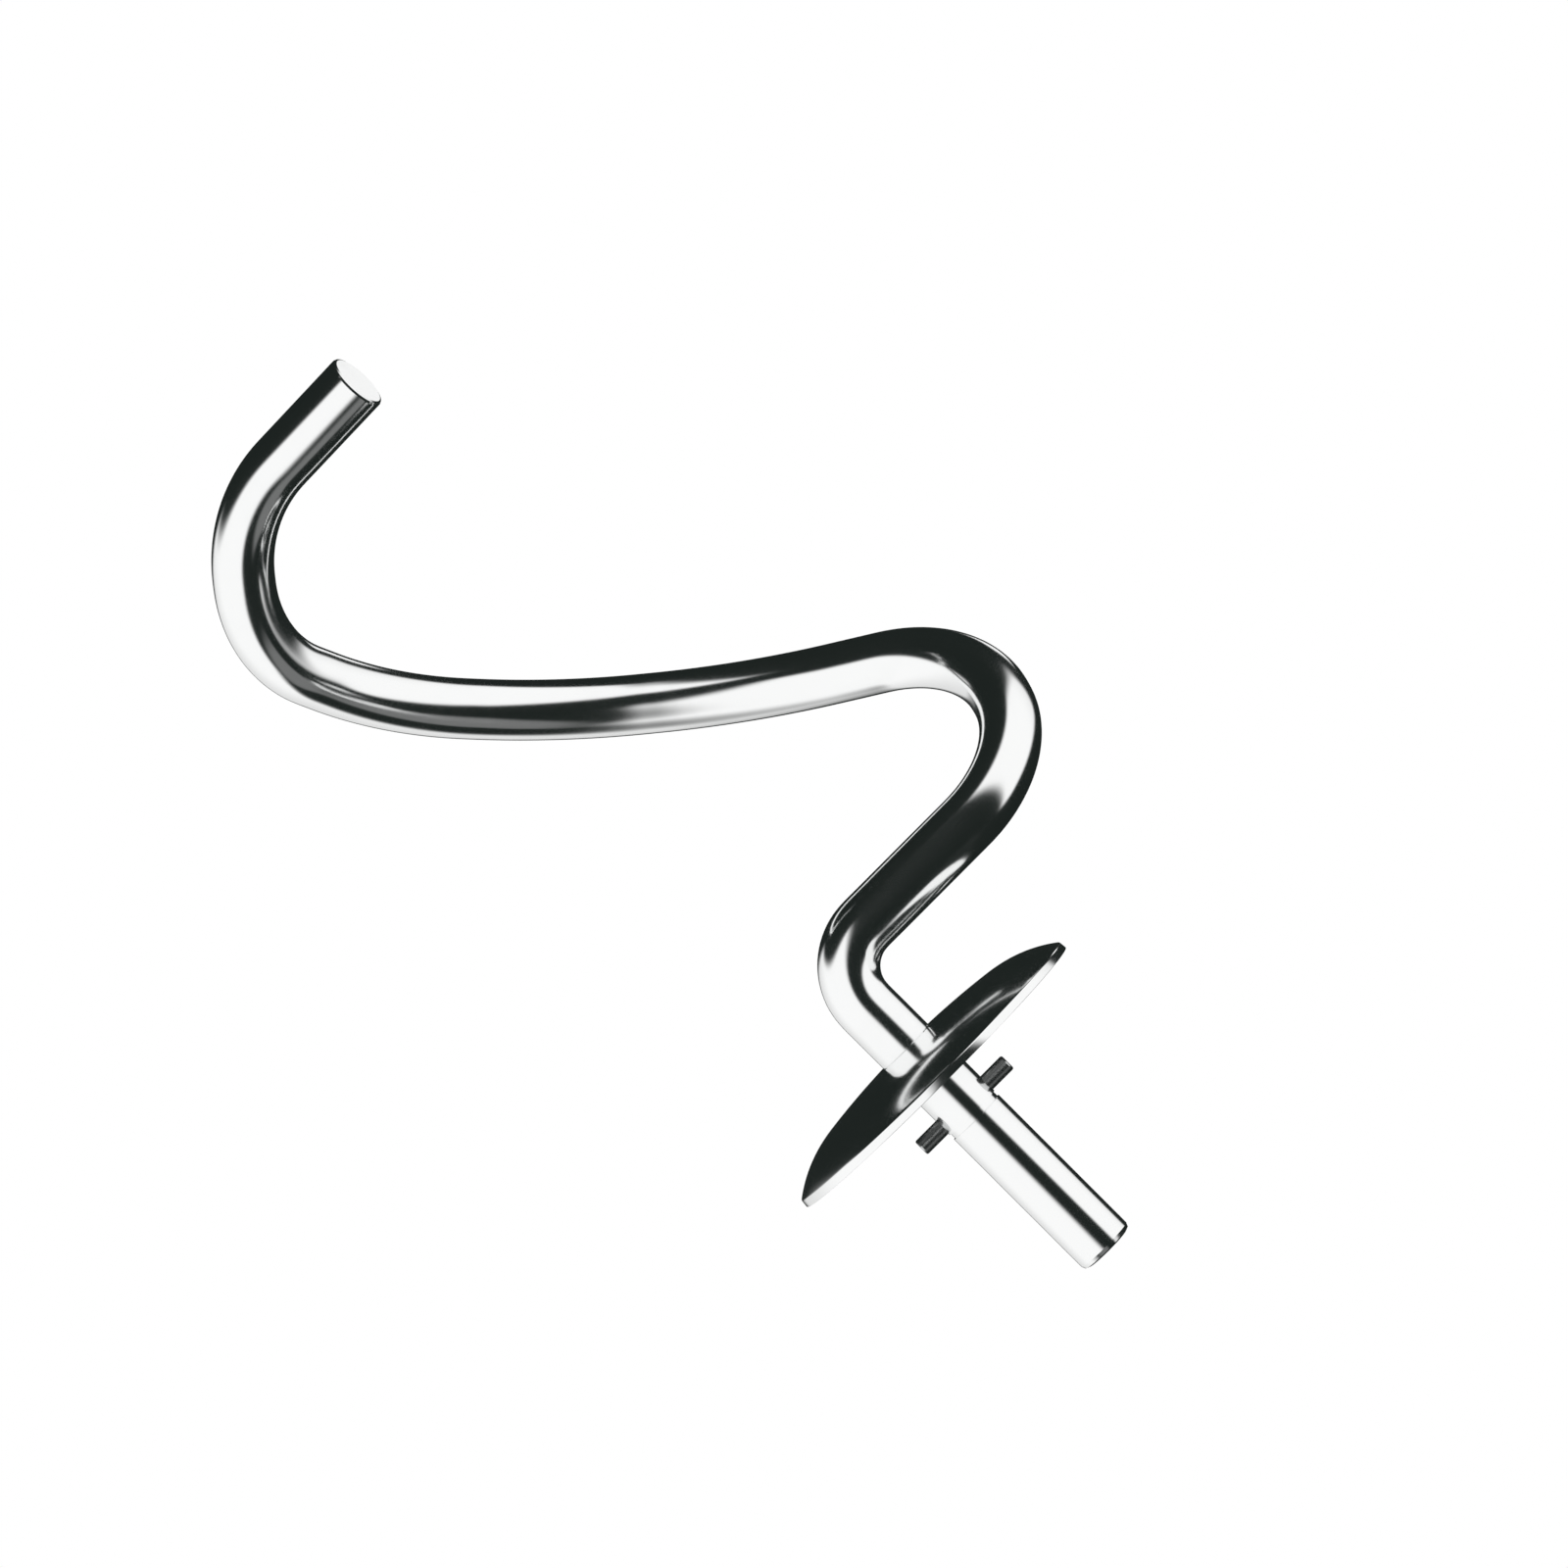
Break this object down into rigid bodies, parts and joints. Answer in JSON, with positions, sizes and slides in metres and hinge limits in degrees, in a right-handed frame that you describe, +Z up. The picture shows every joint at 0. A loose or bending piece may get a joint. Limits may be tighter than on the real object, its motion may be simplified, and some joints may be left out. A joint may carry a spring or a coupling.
{
  "type": "stand mixer dough hook",
  "caption": "Polished round bar bent into a spiral kneading hook, with a straight shank, a dished guard disc and a cross drive pin for a stand mixer.",
  "frame": {"origin": "on the shank's axis, at the lower end of the shank's plain length, just above the drive pin", "axes": "+Z up the shank and out of its free end, with the hook hanging below; +X along the drive pin, towards the side on which the arm leaves"},
  "size_m": [0.0703, 0.0575, 0.1483],
  "materials": {
    "bright_bar": "mirror-bright polished steel bar",
    "bright_sheet": "mirror-bright pressed steel sheet"
  },
  "bodies": {
    "root": {"hook_bar": "bright_bar", "guard_disc": "bright_sheet", "drive_pin": "bright_bar"}
  },
  "joints": []
}
